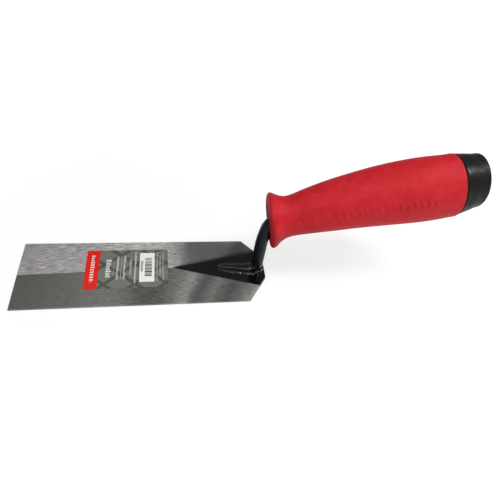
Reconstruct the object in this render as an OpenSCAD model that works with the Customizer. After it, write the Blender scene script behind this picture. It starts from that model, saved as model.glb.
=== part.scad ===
// Brick trowel of the rectangular, narrow kind: ground steel blade, welded round shank, two-shot handle.
// Units are millimetres. +X runs from the blade to the handle, +Z is up, and the part is symmetric in Y.
// The origin is the middle of the blade's flat underside.

/* [Blade] */
// blade length along X
blade_len = 152.4; // [120:0.2:200]
// blade width along Y
blade_w = 50.8; // [38:0.2:80]
// thickness left at the ground edges
edge_t = 1.0; // [0.6:0.1:2]
// ridge height at the middle of the front edge
front_ridge_t = 1.25; // [0.8:0.05:2]
// full plate thickness, kept in the V at the rear
plate_t = 3.0; // [2:0.1:4]
// length of each clipped rear corner
clip_len = 12.0; // [4:0.5:20]
// half width left at the rear end
rear_half_w = 8.1; // [5:0.1:20]
// tip of the V, measured from the front edge
v_tip_x = 93.0; // [60:1:120]

/* [Coating and sticker] */
// thickness of the black coating
lacquer_t = 0.15; // [0.1:0.05:0.5]
// sticker thickness
label_t = 0.15; // [0.1:0.05:0.5]
// sticker start, measured from the front edge
label_x = 39.0; // [10:0.5:80]
// sticker length along X
label_len = 50.6; // [20:0.2:80]
// sticker width along Y
label_w = 31.0; // [15:0.5:45]
// sticker middle off the blade's middle line
label_y = 2.4; // [-5:0.1:5]

/* [Shank] */
// rod diameter
shank_d = 7.5; // [6:0.1:12]
// upright's place, measured from the front edge
shank_x = 147.2; // [130:0.1:150]
// height where the upright starts to lean back
lean_z = 25.0; // [15:0.5:35]
// radius of the long lean
lean_r = 80.0; // [40:1:150]
// how far it leans before the tight bend, degrees
lean_a = 10.5; // [5:0.5:25]
// centreline radius of the tight bend
bend_r = 12.0; // [10:0.5:30]
// tang length after the bend
tang_len = 84.0; // [50:1:110]
// tip of the foot, measured from the front edge
foot_tip_x = 120.8; // [100:0.2:140]
// foot height at the heel
foot_h = 3.8; // [2:0.1:6]
// foot height at the tip
foot_tip_h = 1.9; // [1:0.1:4]
// weld bead radius
bead_r = 1.5; // [0.8:0.1:3]

/* [Handle] */
// handle tilt above the blade, degrees
tilt = 13.5; // [0:0.5:30]
// front of the grip axis, measured from the blade's front edge
grip_x = 147.0; // [140:0.1:160]
// front of the grip axis, height
grip_z = 50.2; // [30:0.1:80]
// width of the grip sections over their height
grip_ratio = 0.86; // [0.7:0.01:1]
// length of the red sleeve
sleeve_len = 110.3; // [80:0.1:140]
// start of the butt cap
cap_s = 110.6; // [80:0.1:140]
// butt cap spigot radius
spigot_r = 6.0; // [3:0.1:9]
// butt cap spigot length
spigot_len = 12.0; // [6:0.5:20]

/* [Hidden] */
half_w = blade_w / 2;
rod_r = shank_d / 2;
// drawing the rod round its bends thins it a little
lean_tube_r = rod_r - 0.02;
bend_tube_r = rod_r - 0.04;
tang_r = rod_r - 0.06;
lap = 0.3;
// the tang's centreline in the handle's own frame
bend_cx = shank_x + lean_r * (1 - cos(lean_a)) + bend_r * cos(lean_a);
bend_cz = lean_z + lean_r * sin(lean_a) - bend_r * sin(lean_a);
tang_x = bend_cx - bend_r * sin(tilt);
tang_z = bend_cz + bend_r * cos(tilt);
tang_s = (tang_x - grip_x) * cos(tilt) + (tang_z - grip_z) * sin(tilt);
tang_n = -(tang_x - grip_x) * sin(tilt) + (tang_z - grip_z) * cos(tilt);
// the grip's front rim stands this far along the grip axis
rim_s = 0.3;
// lean of the rim: the top stands back, fading out along the collar
rim_lean = 2.0;
rim_n = -14.0;
seg = 44;

// half width of the narrow flat left along the ridge
ridge_flat = 0.06;

// half width of the V at each distance behind the front edge
// places along the blade where the sticker's folds are set out
label_rows = [for (i = [0 : 6]) label_x + i * label_len / 6];

v_edge = [
    [v_tip_x, ridge_flat],
    [v_tip_x + 6, 1.75],
    [v_tip_x + 12, 3.5],
    [v_tip_x + 25.5, 7.4],
    [v_tip_x + 38.5, 10.7],
    [v_tip_x + 49, 13.2],
    [v_tip_x + 60, 16.2]
];

// grip sections: distance along the grip from the rim, top, bottom
sleeve_rings = [
    [0, 8.8, -20.1],
    [0.35, 10.8, -21.2],
    [0.9, 12.2, -21.9],
    [1.7, 13.1, -22.2],
    [2.7, 13.3, -21.9],
    [4, 12.8, -20.8],
    [5.6, 11.9, -19.2],
    [7.5, 10.9, -17.9],
    [9.7, 10, -16.9],
    [12.5, 9.65, -16.4],
    [16, 10.2, -16.2],
    [21, 11.6, -16.2],
    [27, 13.15, -16.3],
    [34, 14.75, -16.5],
    [43, 16.5, -16.8],
    [52, 17.9, -17.2],
    [64, 19.3, -18.1],
    [76, 20, -19.2],
    [87, 20.1, -20.2],
    [96, 19.7, -20.65],
    [102.5, 19.2, -20.65],
    [106.5, 18.95, -20.55],
    [109.2, 18.8, -20.35],
    [sleeve_len - rim_s, 18.3, -19.85]
];

// butt cap sections
cap_rings = [
    [cap_s - rim_s, 18.1, -19.7],
    [cap_s + 3 - rim_s, 17.9, -19.1],
    [cap_s + 6 - rim_s, 17.7, -18.5],
    [cap_s + 9 - rim_s, 17.35, -17.65],
    [cap_s + 11.5 - rim_s, 17, -16.85],
    [cap_s + 13.5 - rim_s, 16.7, -16.3],
    [cap_s + 14.8 - rim_s, 15.9, -15.3],
    [cap_s + 15.8 - rim_s, 14.4, -13.5],
    [cap_s + 16.6 - rim_s, 12.2, -10.8],
    [cap_s + 17.3 - rim_s, 9.9, -7.4],
    [cap_s + 17.9 - rim_s, 7.9, -4.2],
    [cap_s + 18.5 - rim_s, 6, -1.2],
    [cap_s + 18.8 - rim_s, 4.4, 0.8]
];

module from_front() {
    translate([-blade_len / 2, 0, 0]) children();
}

// the handle's own frame: X along the grip, Z across it
module grip_frame() {
    from_front() translate([grip_x, 0, grip_z]) rotate([0, -tilt, 0]) children();
}

function ring_point(r, a, w) =
    let (c = (r[1] + r[2]) / 2, h = (r[1] - r[2]) / 2, n = c + h * cos(a))
    [r[0] + rim_s + (n - rim_n) * tan(rim_lean) * max(0, 1 - r[0] / 12), w * h * sin(a), n];

// a solid skinned over elliptical sections
module loft(rings, w, k) {
    m = len(rings);
    pts = [for (r = rings) for (j = [0 : k - 1]) ring_point(r, 360 * j / k, w)];
    sides = [for (i = [0 : m - 2]) for (j = [0 : k - 1])
        let (a = i * k + j, b = i * k + (j + 1) % k, c = b + k, d = a + k)
        each [[a, b, c], [a, c, d]]];
    front = [for (j = [1 : k - 2]) [0, j + 1, j]];
    back = [for (j = [1 : k - 2]) [(m - 1) * k, (m - 1) * k + j, (m - 1) * k + j + 1]];
    polyhedron(points = pts, faces = concat(sides, front, back), convexity = 6);
}

module blade_outline() {
    polygon([
        [0, -half_w],
        [blade_len - clip_len, -half_w],
        [blade_len, -rear_half_w],
        [blade_len, rear_half_w],
        [blade_len - clip_len, half_w],
        [0, half_w]
    ]);
}

module v_outline() {
    polygon(concat(
        [for (p = v_edge) [p[0], -p[1]]],
        [for (i = [len(v_edge) - 1 : -1 : 0]) v_edge[i]]
    ));
}

function ridge_h(x) = front_ridge_t + (plate_t - front_ridge_t) * x / v_tip_x;

// height of the ground facet ahead of the V
function facet_h(x, y) =
    ridge_h(x) + (edge_t - ridge_h(x)) * max(0, abs(y) - ridge_flat) / (half_w - ridge_flat);

// ground upper surface, as a solid below it: the two facets meet in a ridge and stop at the V
module ground_solid(lift) {
    reach = half_w + 5;
    st = concat([for (x = concat([-4, 17], label_rows)) [x, ridge_flat, ridge_h(x)]],
        [for (p = v_edge) [p[0], p[1], plate_t]]);
    rows = [for (q = st)
        let (zo = q[2] + (edge_t - q[2]) * (reach - q[1]) / (half_w - q[1]))
        [[q[0], -reach, -2], [q[0], -reach, zo + lift], [q[0], -q[1], q[2] + lift],
         [q[0], q[1], q[2] + lift], [q[0], reach, zo + lift], [q[0], reach, -2]]];
    pts = [for (r = rows) for (p = r) p];
    m = len(rows);
    sides = [for (i = [0 : m - 2]) for (j = [0 : 5])
        let (a = i * 6 + j, b = i * 6 + (j + 1) % 6, c = b + 6, d = a + 6)
        each [[a, c, b], [a, d, c]]];
    polyhedron(
        points = pts,
        faces = concat(sides, [[0, 1, 2], [0, 2, 3], [0, 3, 4], [0, 4, 5]],
            [for (f = [[0, 2, 1], [0, 3, 2], [0, 4, 3], [0, 5, 4]]) [for (v = f) v + (m - 1) * 6]]),
        convexity = 4
    );
}

module blade() {
    color([0.62, 0.62, 0.58])
    from_front() intersection() {
        linear_extrude(height = plate_t + 2) blade_outline();
        ground_solid(0);
    }
}

module foot_outline() {
    heel_half = 3.5;
    polygon([
        [foot_tip_x, -0.8],
        [foot_tip_x + 1.2, -1.6],
        [shank_x - 4, -heel_half],
        [shank_x, -heel_half],
        [shank_x, heel_half],
        [shank_x - 4, heel_half],
        [foot_tip_x + 1.2, 1.6],
        [foot_tip_x, 0.8]
    ]);
    translate([shank_x, 0]) circle(r = rod_r + 0.3, $fn = 64);
}

// foot lying on the blade, thinning toward its tip
module foot() {
    intersection() {
        translate([0, 0, plate_t]) linear_extrude(height = 8) foot_outline();
        translate([0, 20, 0]) rotate([90, 0, 0]) linear_extrude(height = 40) polygon([
            [foot_tip_x - 1, plate_t - 1],
            [shank_x + 8, plate_t - 1],
            [shank_x + 8, plate_t + foot_h],
            [shank_x - 6, plate_t + foot_h],
            [foot_tip_x + 1.5, plate_t + foot_tip_h],
            [foot_tip_x, plate_t + foot_tip_h - 0.8],
            [foot_tip_x - 1, plate_t + 0.2]
        ]);
    }
}

module rod() {
    translate([shank_x, 0, plate_t]) cylinder(r = rod_r, h = lean_z + lap - plate_t, $fn = 64);
    translate([shank_x + lean_r, 0, lean_z]) rotate([90, 0, 0]) rotate([0, 0, 180 - lean_a - 0.2])
        rotate_extrude(angle = lean_a + 0.2, $fn = 192) translate([lean_r, 0]) circle(r = lean_tube_r, $fn = 64);
    translate([bend_cx, 0, bend_cz]) rotate([90, 0, 0]) rotate([0, 0, 90 + tilt])
        rotate_extrude(angle = 90 - tilt - lean_a, $fn = 96) translate([bend_r, 0]) circle(r = bend_tube_r, $fn = 64);
    // tang with three retaining grooves and a chamfered end
    translate([tang_x, 0, tang_z]) rotate([0, 90 - tilt, 0]) rotate_extrude($fn = 64) polygon([
        [0, -lap],
        [tang_r, -lap],
        [tang_r, 26],
        [tang_r - 0.6, 27],
        [tang_r - 0.6, 29],
        [tang_r, 30],
        [tang_r, 46],
        [tang_r - 0.6, 47],
        [tang_r - 0.6, 49],
        [tang_r, 50],
        [tang_r, 66],
        [tang_r - 0.6, 67],
        [tang_r - 0.6, 69],
        [tang_r, 70],
        [tang_r, tang_len - 1],
        [tang_r - 1, tang_len],
        [0, tang_len]
    ]);
}

module shank() {
    color([0.09, 0.09, 0.1])
    from_front() union() {
        foot();
        rod();
    }
}

// one puddle after another along the foot's side, thicker toward the heel
module bead_row(side) {
    n = 14;
    difference() {
        union() for (i = [0 : n - 1]) {
            t = i / (n - 1);
            translate([foot_tip_x + 1.0 + t * 20.6, side * (2.0 + 1.8 * t), plate_t + 0.15])
                sphere(r = bead_r * (0.82 + 0.18 * t), $fn = 32);
        }
        translate([foot_tip_x - 10, -20, plate_t - 10]) cube([60, 40, 10]);
        foot();
        translate([shank_x, 0, 0]) cylinder(r = rod_r + 0.3, h = 20, $fn = 64);
    }
}

module weld_left() {
    color([0.12, 0.12, 0.13])
    from_front() bead_row(1);
}

module weld_right() {
    color([0.12, 0.12, 0.13])
    from_front() bead_row(-1);
}

// fillet weld round the back of the heel
module weld_heel() {
    color([0.12, 0.12, 0.13])
    from_front() translate([shank_x, 0, plate_t]) rotate([0, 0, -105])
        rotate_extrude(angle = 210, $fn = 96) polygon([
            [rod_r + 0.3, 0],
            [rod_r + 1.35, 0],
            [rod_r + 1.25, 0.6],
            [rod_r + 1.0, 1.2],
            [rod_r + 0.7, 1.6],
            [rod_r + 0.3, 1.8]
        ]);
}

// black coating over the V, clear of the welded foot
module blade_lacquer() {
    color([0.05, 0.05, 0.055])
    from_front() difference() {
        translate([0, 0, plate_t]) linear_extrude(height = lacquer_t) intersection() {
            v_outline();
            blade_outline();
        }
        translate([0, 0, plate_t - 1]) linear_extrude(height = 3) polygon([
            [foot_tip_x - 0.9, -2.4],
            [shank_x - 4.4, -5.7],
            [shank_x - 2, -5.7],
            [shank_x + 3, -4.6],
            [shank_x + 5.14, -1.6],
            [shank_x + 5.14, 1.6],
            [shank_x + 3, 4.6],
            [shank_x - 2, 5.7],
            [shank_x - 4.4, 5.7],
            [foot_tip_x - 0.9, 2.4]
        ]);
    }
}

// printed sticker on its film of glue, folded over the ridge
module size_label() {
    glue_t = 0.03;
    ys = [label_y - label_w / 2, -ridge_flat, ridge_flat, label_y + label_w / 2];
    pts = [for (x = label_rows) for (k = [0, 1]) for (j = [0 : 3])
        [x, k == 0 ? ys[j] : ys[3 - j], facet_h(x, k == 0 ? ys[j] : ys[3 - j]) + glue_t + k * label_t]];
    m = len(label_rows);
    sides = [for (i = [0 : m - 2]) for (j = [0 : 7])
        let (a = i * 8 + j, b = i * 8 + (j + 1) % 8, c = b + 8, d = a + 8)
        each [[a, b, c], [a, c, d]]];
    ends = [[0, 7, 6], [0, 6, 1], [1, 6, 5], [1, 5, 2], [2, 5, 4], [2, 4, 3]];
    color([0.78, 0.78, 0.74])
    from_front() polyhedron(
        points = pts,
        faces = concat(sides, ends, [for (f = ends) [for (v = [f[0], f[2], f[1]]) v + (m - 1) * 8]]),
        convexity = 4
    );
}

// flat oval plate at the front of the core
module core_face(s0, s1) {
    translate([rim_s, 0, rim_n]) rotate([0, rim_lean, 0]) translate([s0, 0, -5.9 - rim_n])
        rotate([0, 90, 0]) linear_extrude(height = s1 - s0)
        polygon([for (j = [0 : 47]) [-12.4 * cos(7.5 * j), 10.6 * sin(7.5 * j)]]);
}

module core_solid() {
    core_face(0.6, 5.2);
    translate([0, 0, tang_n]) rotate([0, 90, 0]) rotate_extrude($fn = 96) polygon([
        [0, 2.6],
        [8.6, 2.6],
        [8.6, 22],
        [10.8, 34],
        [11.6, 44],
        [11.6, 46],
        [10.8, 46],
        [10.8, 49],
        [12.2, 49],
        [13.0, 64],
        [12.0, 64],
        [12.0, 67],
        [13.2, 67],
        [13.5, 84],
        [12.5, 84],
        [12.5, 87],
        [13.5, 87],
        [13.5, cap_s],
        [0, cap_s]
    ]);
}

module handle_core() {
    color([0.07, 0.07, 0.075])
    difference() {
        grip_frame() core_solid();
        from_front() rod();
        grip_frame() translate([cap_s - spigot_len, 0, tang_n]) rotate([0, 90, 0])
            cylinder(r = spigot_r, h = spigot_len + 1, $fn = 64);
    }
}

module grip_sleeve() {
    color([0.75, 0.06, 0.1])
    grip_frame() difference() {
        loft(sleeve_rings, grip_ratio, seg);
        core_solid();
        core_face(-6, 5.2);
    }
}

module end_cap() {
    color([0.12, 0.12, 0.12])
    grip_frame() union() {
        loft(cap_rings, grip_ratio, seg);
        translate([cap_s - spigot_len, 0, tang_n]) rotate([0, 90, 0]) rotate_extrude($fn = 64) polygon([
            [0, 0],
            [spigot_r - 1, 0],
            [spigot_r, 1],
            [spigot_r, spigot_len + 2],
            [0, spigot_len + 2]
        ]);
    }
}

blade();
blade_lacquer();
shank();
weld_left();
weld_right();
weld_heel();
handle_core();
grip_sleeve();
end_cap();
size_label();
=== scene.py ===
"""Looks for the rectangular brick trowel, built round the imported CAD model. Metres, row frame."""
import math

import bmesh
import bpy
from mathutils import Matrix, Vector


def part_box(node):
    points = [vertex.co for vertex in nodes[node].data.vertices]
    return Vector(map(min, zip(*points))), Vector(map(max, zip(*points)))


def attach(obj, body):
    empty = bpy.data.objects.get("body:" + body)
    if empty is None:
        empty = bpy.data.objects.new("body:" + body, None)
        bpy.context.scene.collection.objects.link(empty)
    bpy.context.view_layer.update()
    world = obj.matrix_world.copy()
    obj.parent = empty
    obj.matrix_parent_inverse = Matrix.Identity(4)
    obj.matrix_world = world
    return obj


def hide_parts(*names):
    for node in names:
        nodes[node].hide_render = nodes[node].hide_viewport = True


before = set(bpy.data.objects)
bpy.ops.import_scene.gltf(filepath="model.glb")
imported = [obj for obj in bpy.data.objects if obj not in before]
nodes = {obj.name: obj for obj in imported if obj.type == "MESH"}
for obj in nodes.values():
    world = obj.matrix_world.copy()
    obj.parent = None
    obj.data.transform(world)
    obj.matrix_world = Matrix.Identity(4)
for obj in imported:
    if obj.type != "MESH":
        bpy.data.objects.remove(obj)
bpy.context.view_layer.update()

MM = 0.001

# ---------------------------------------------------------------- places, from the CAD boxes
blade_lo, blade_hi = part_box("blade")
label_lo, label_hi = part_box("size_label")
X0 = blade_lo.x                      # front edge
BLADE_L = blade_hi.x - blade_lo.x
HALF_W = blade_hi.y
PLATE_T = blade_hi.z
CLIP = 12.0 * MM
REAR_HALF = 8.1 * MM
EDGE_T = 1.0 * MM
FRONT_T = 1.25 * MM
V_TIP = 93.0 * MM
V_TIP_Y = 0.95 * MM
NEAR_SLOPE, FAR_SLOPE = 0.293, 0.218          # the V opens a little more towards the near edge
RIDGE_Y0 = -0.55 * MM                         # the hand-ground ridge runs slightly askew
RIDGE_SLOPE = (V_TIP_Y - RIDGE_Y0) / V_TIP
RIDGE_FLAT = 0.04 * MM                        # half the width of the ridge's flat

TILT = math.radians(13.5)
GRIP_O = Vector((X0 + 147.0 * MM, 0, 50.2 * MM))
GRIP_T = Vector((math.cos(TILT), 0, math.sin(TILT)))
GRIP_N = Vector((-math.sin(TILT), 0, math.cos(TILT)))


# ---------------------------------------------------------------- small geometry tools
def lerp(a, b, t):
    return a + (b - a) * t


def smooth(a, b, x):
    """0 before a, 1 after b, eased between."""
    t = min(1.0, max(0.0, (x - a) / (b - a)))
    return t * t * (3 - 2 * t)


def piecewise(table, x):
    """Value at x of a table of (place, value) rows, straight between them."""
    if x <= table[0][0]:
        return table[0][1]
    for (xa, ya), (xb, yb) in zip(table, table[1:]):
        if x <= xb:
            return lerp(ya, yb, (x - xa) / (xb - xa))
    return table[-1][1]


def catmull(keys, spacing):
    """Rows on a smooth curve through the keys, about spacing apart."""
    out = []
    n = len(keys)
    for i in range(n - 1):
        p0 = keys[max(i - 1, 0)]
        p1, p2 = keys[i], keys[i + 1]
        p3 = keys[min(i + 2, n - 1)]
        d = [max(1e-9, math.dist(a, b)) ** 0.5 for a, b in ((p0, p1), (p1, p2), (p2, p3))]
        count = max(2, int(math.dist(p1, p2) / spacing))
        for k in range(count):
            t = k / count
            row = []
            for a, b, c, e in zip(p0, p1, p2, p3):
                m1 = (c - b) + d[1] * ((b - a) / d[0] - (c - a) / (d[0] + d[1])) if i else c - b
                m2 = (c - b) + d[1] * ((e - c) / d[2] - (e - b) / (d[1] + d[2])) if i < n - 2 else c - b
                t2, t3 = t * t, t * t * t
                row.append((2 * t3 - 3 * t2 + 1) * b + (t3 - 2 * t2 + t) * m1
                           + (-2 * t3 + 3 * t2) * c + (t3 - t2) * m2)
            out.append(row)
    out.append(list(keys[-1]))
    return out


def make_object(name, verts, faces, material, stands_for, sharp_angle):
    """One visual piece in place of the CAD nodes in stands_for; edges above sharp_angle stay sharp."""
    mesh = bpy.data.meshes.new(name)
    mesh.from_pydata([tuple(v) for v in verts], [], faces)
    bm = bmesh.new()
    bm.from_mesh(mesh)
    bmesh.ops.recalc_face_normals(bm, faces=bm.faces)
    for e in bm.edges:
        if len(e.link_faces) == 2 and e.calc_face_angle(0) > math.radians(sharp_angle):
            e.smooth = False
    bm.to_mesh(mesh)
    bm.free()
    for p in mesh.polygons:
        p.use_smooth = True
    ob = bpy.data.objects.new(name, mesh)
    bpy.context.scene.collection.objects.link(ob)
    mesh.materials.append(material)
    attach(ob, "root")
    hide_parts(*stands_for)
    return ob


def skin(rows, closed=True):
    """Joins equal rings of points into a surface, with a face over each end where closed."""
    verts = [p for r in rows for p in r]
    k = len(rows[0])
    faces = []
    for i in range(len(rows) - 1):
        for j in range(k):
            a, b = i * k + j, i * k + (j + 1) % k
            faces.append((a, b, b + k, a + k))
    if closed:
        faces.append(tuple(range(k - 1, -1, -1)))
        faces.append(tuple((len(rows) - 1) * k + j for j in range(k)))
    return verts, faces


def add_shell(verts, faces, more_verts, more_faces):
    """The same mesh with one more closed shell in it."""
    base = len(verts)
    return verts + more_verts, faces + [tuple(i + base for i in f) for f in more_faces]


def tube(path, radius, seg):
    """Rings of a round bar along a path in the XZ plane, radius as a function of the place along it."""
    rows = []
    for i, p in enumerate(path):
        a = path[max(i - 1, 0)]
        b = path[min(i + 1, len(path) - 1)]
        t = (Vector(b) - Vector(a)).normalized()
        side = Vector((0, 1, 0))
        up = side.cross(t).normalized()
        r = radius(i / (len(path) - 1))
        rows.append([Vector(p) + (side * math.cos(q) + up * math.sin(q)) * r
                     for q in (2 * math.pi * j / seg for j in range(seg))])
    return rows


# ---------------------------------------------------------------- node tools
class Nodes:
    """Short hand for building a procedural material."""

    def __init__(self, name):
        self.mat = bpy.data.materials.new(name)
        self.mat.use_nodes = True
        self.tree = self.mat.node_tree
        self.shader = self.tree.nodes["Principled BSDF"]
        self.coords = self.tree.nodes.new("ShaderNodeTexCoord").outputs["Object"]

    def link(self, value, socket):
        if isinstance(value, bpy.types.NodeSocket):
            self.tree.links.new(value, socket)
        else:
            socket.default_value = value

    def math(self, op, a, b=0.0, c=0.0, clamp=False):
        n = self.tree.nodes.new("ShaderNodeMath")
        n.operation = op
        n.use_clamp = clamp
        for v, s in zip((a, b, c), n.inputs):
            self.link(v, s)
        return n.outputs[0]

    def split(self):
        """The x, y and z of the object's coordinates, in metres."""
        n = self.tree.nodes.new("ShaderNodeSeparateXYZ")
        self.link(self.coords, n.inputs[0])
        return n.outputs

    def join(self, x, y, z):
        n = self.tree.nodes.new("ShaderNodeCombineXYZ")
        for v, s in zip((x, y, z), n.inputs):
            self.link(v, s)
        return n.outputs[0]

    def place(self, scale, turn=(0, 0, 0), move=(0, 0, 0)):
        """Coordinates turned first and then scaled, so a stretched pattern lies at that turn."""
        n = self.tree.nodes.new("ShaderNodeMapping")
        n.vector_type = "TEXTURE"
        self.link(self.coords, n.inputs["Vector"])
        n.inputs["Location"].default_value = move
        n.inputs["Rotation"].default_value = [math.radians(t) for t in turn]
        n.inputs["Scale"].default_value = [1 / v for v in scale]
        return n.outputs[0]

    def noise(self, vector, detail, rough):
        n = self.tree.nodes.new("ShaderNodeTexNoise")
        self.link(vector, n.inputs["Vector"])
        n.inputs["Scale"].default_value = 1.0
        n.inputs["Detail"].default_value = detail
        n.inputs["Roughness"].default_value = rough
        return n.outputs["Fac"]

    def ramp(self, value, stops, ease="LINEAR"):
        """Grey value over (place, value) stops."""
        n = self.tree.nodes.new("ShaderNodeValToRGB")
        n.color_ramp.interpolation = ease
        self.link(value, n.inputs[0])
        e = n.color_ramp.elements
        while len(e) < len(stops):
            e.new(0.5)
        for el, (p, c) in zip(e, stops):
            el.position = p
            el.color = (c, c, c, 1)
        return n.outputs[0]

    def range(self, value, a, b, c=0.0, d=1.0, ease="SMOOTHSTEP"):
        """The value taken from a..b to c..d, and held beyond its ends."""
        n = self.tree.nodes.new("ShaderNodeMapRange")
        n.interpolation_type = ease
        for v, s in zip((value, a, b, c, d), n.inputs):
            self.link(v, s)
        return n.outputs[0]

    def random_step(self, place, seed):
        """A random value that is constant over each whole step of place."""
        n = self.tree.nodes.new("ShaderNodeTexWhiteNoise")
        n.noise_dimensions = "2D"
        self.link(self.join(self.math("FLOOR", place), seed, 0.0), n.inputs["Vector"])
        return n.outputs["Value"]

    def mix(self, fac, a, b, blend="MIX"):
        n = self.tree.nodes.new("ShaderNodeMix")
        n.data_type = "RGBA"
        n.blend_type = blend
        self.link(fac, n.inputs[0])
        for v, s in ((a, n.inputs[6]), (b, n.inputs[7])):
            if isinstance(v, tuple):
                v = (*v, 1)
            self.link(v, s)
        return n.outputs[2]

    def bump(self, height, distance, strength, normal=None):
        n = self.tree.nodes.new("ShaderNodeBump")
        n.inputs["Strength"].default_value = strength
        n.inputs["Distance"].default_value = distance
        self.link(height, n.inputs["Height"])
        if normal:
            self.link(normal, n.inputs["Normal"])
        return n.outputs[0]

    def set(self, **values):
        """Links or sets the shader's sockets by name, and gives back the finished material."""
        for k, v in values.items():
            socket = self.shader.inputs[k.replace("_", " ")]
            if isinstance(v, tuple):
                v = (*v, 1)
            self.link(v, socket)
        return self.mat


def band(m, value, low, high, soft):
    """1 between low and high, with soft ends."""
    up = m.range(value, low - soft, low + soft)
    down = m.range(value, high - soft, high + soft)
    return m.math("SUBTRACT", up, down, clamp=True)


def grip_distance(m, axis):
    """Distance from the grip's origin along one of its axes, in metres."""
    x, _, z = m.split()
    part = m.math("MULTIPLY", m.math("SUBTRACT", x, GRIP_O.x), axis.x)
    return m.math("MULTIPLY_ADD", m.math("SUBTRACT", z, GRIP_O.z), axis.z, part)


# ---------------------------------------------------------------- materials
FAR_TURN, NEAR_TURN = 9, -11                  # degrees of the grinding marks on each facet
FAR_FINE_TURN, NEAR_FINE_TURN = 11, -8        # and of the finest of them
REFLECTION_BAND_LENGTH = 160.0                           # mm of blade that the painted reflection ramps below run over
BEHIND_PLATE = 152.1                          # mm from the front edge to the painted rear edge
CUT_EDGE = 25.05                              # mm from the middle to the worn line on the side edges


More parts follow.
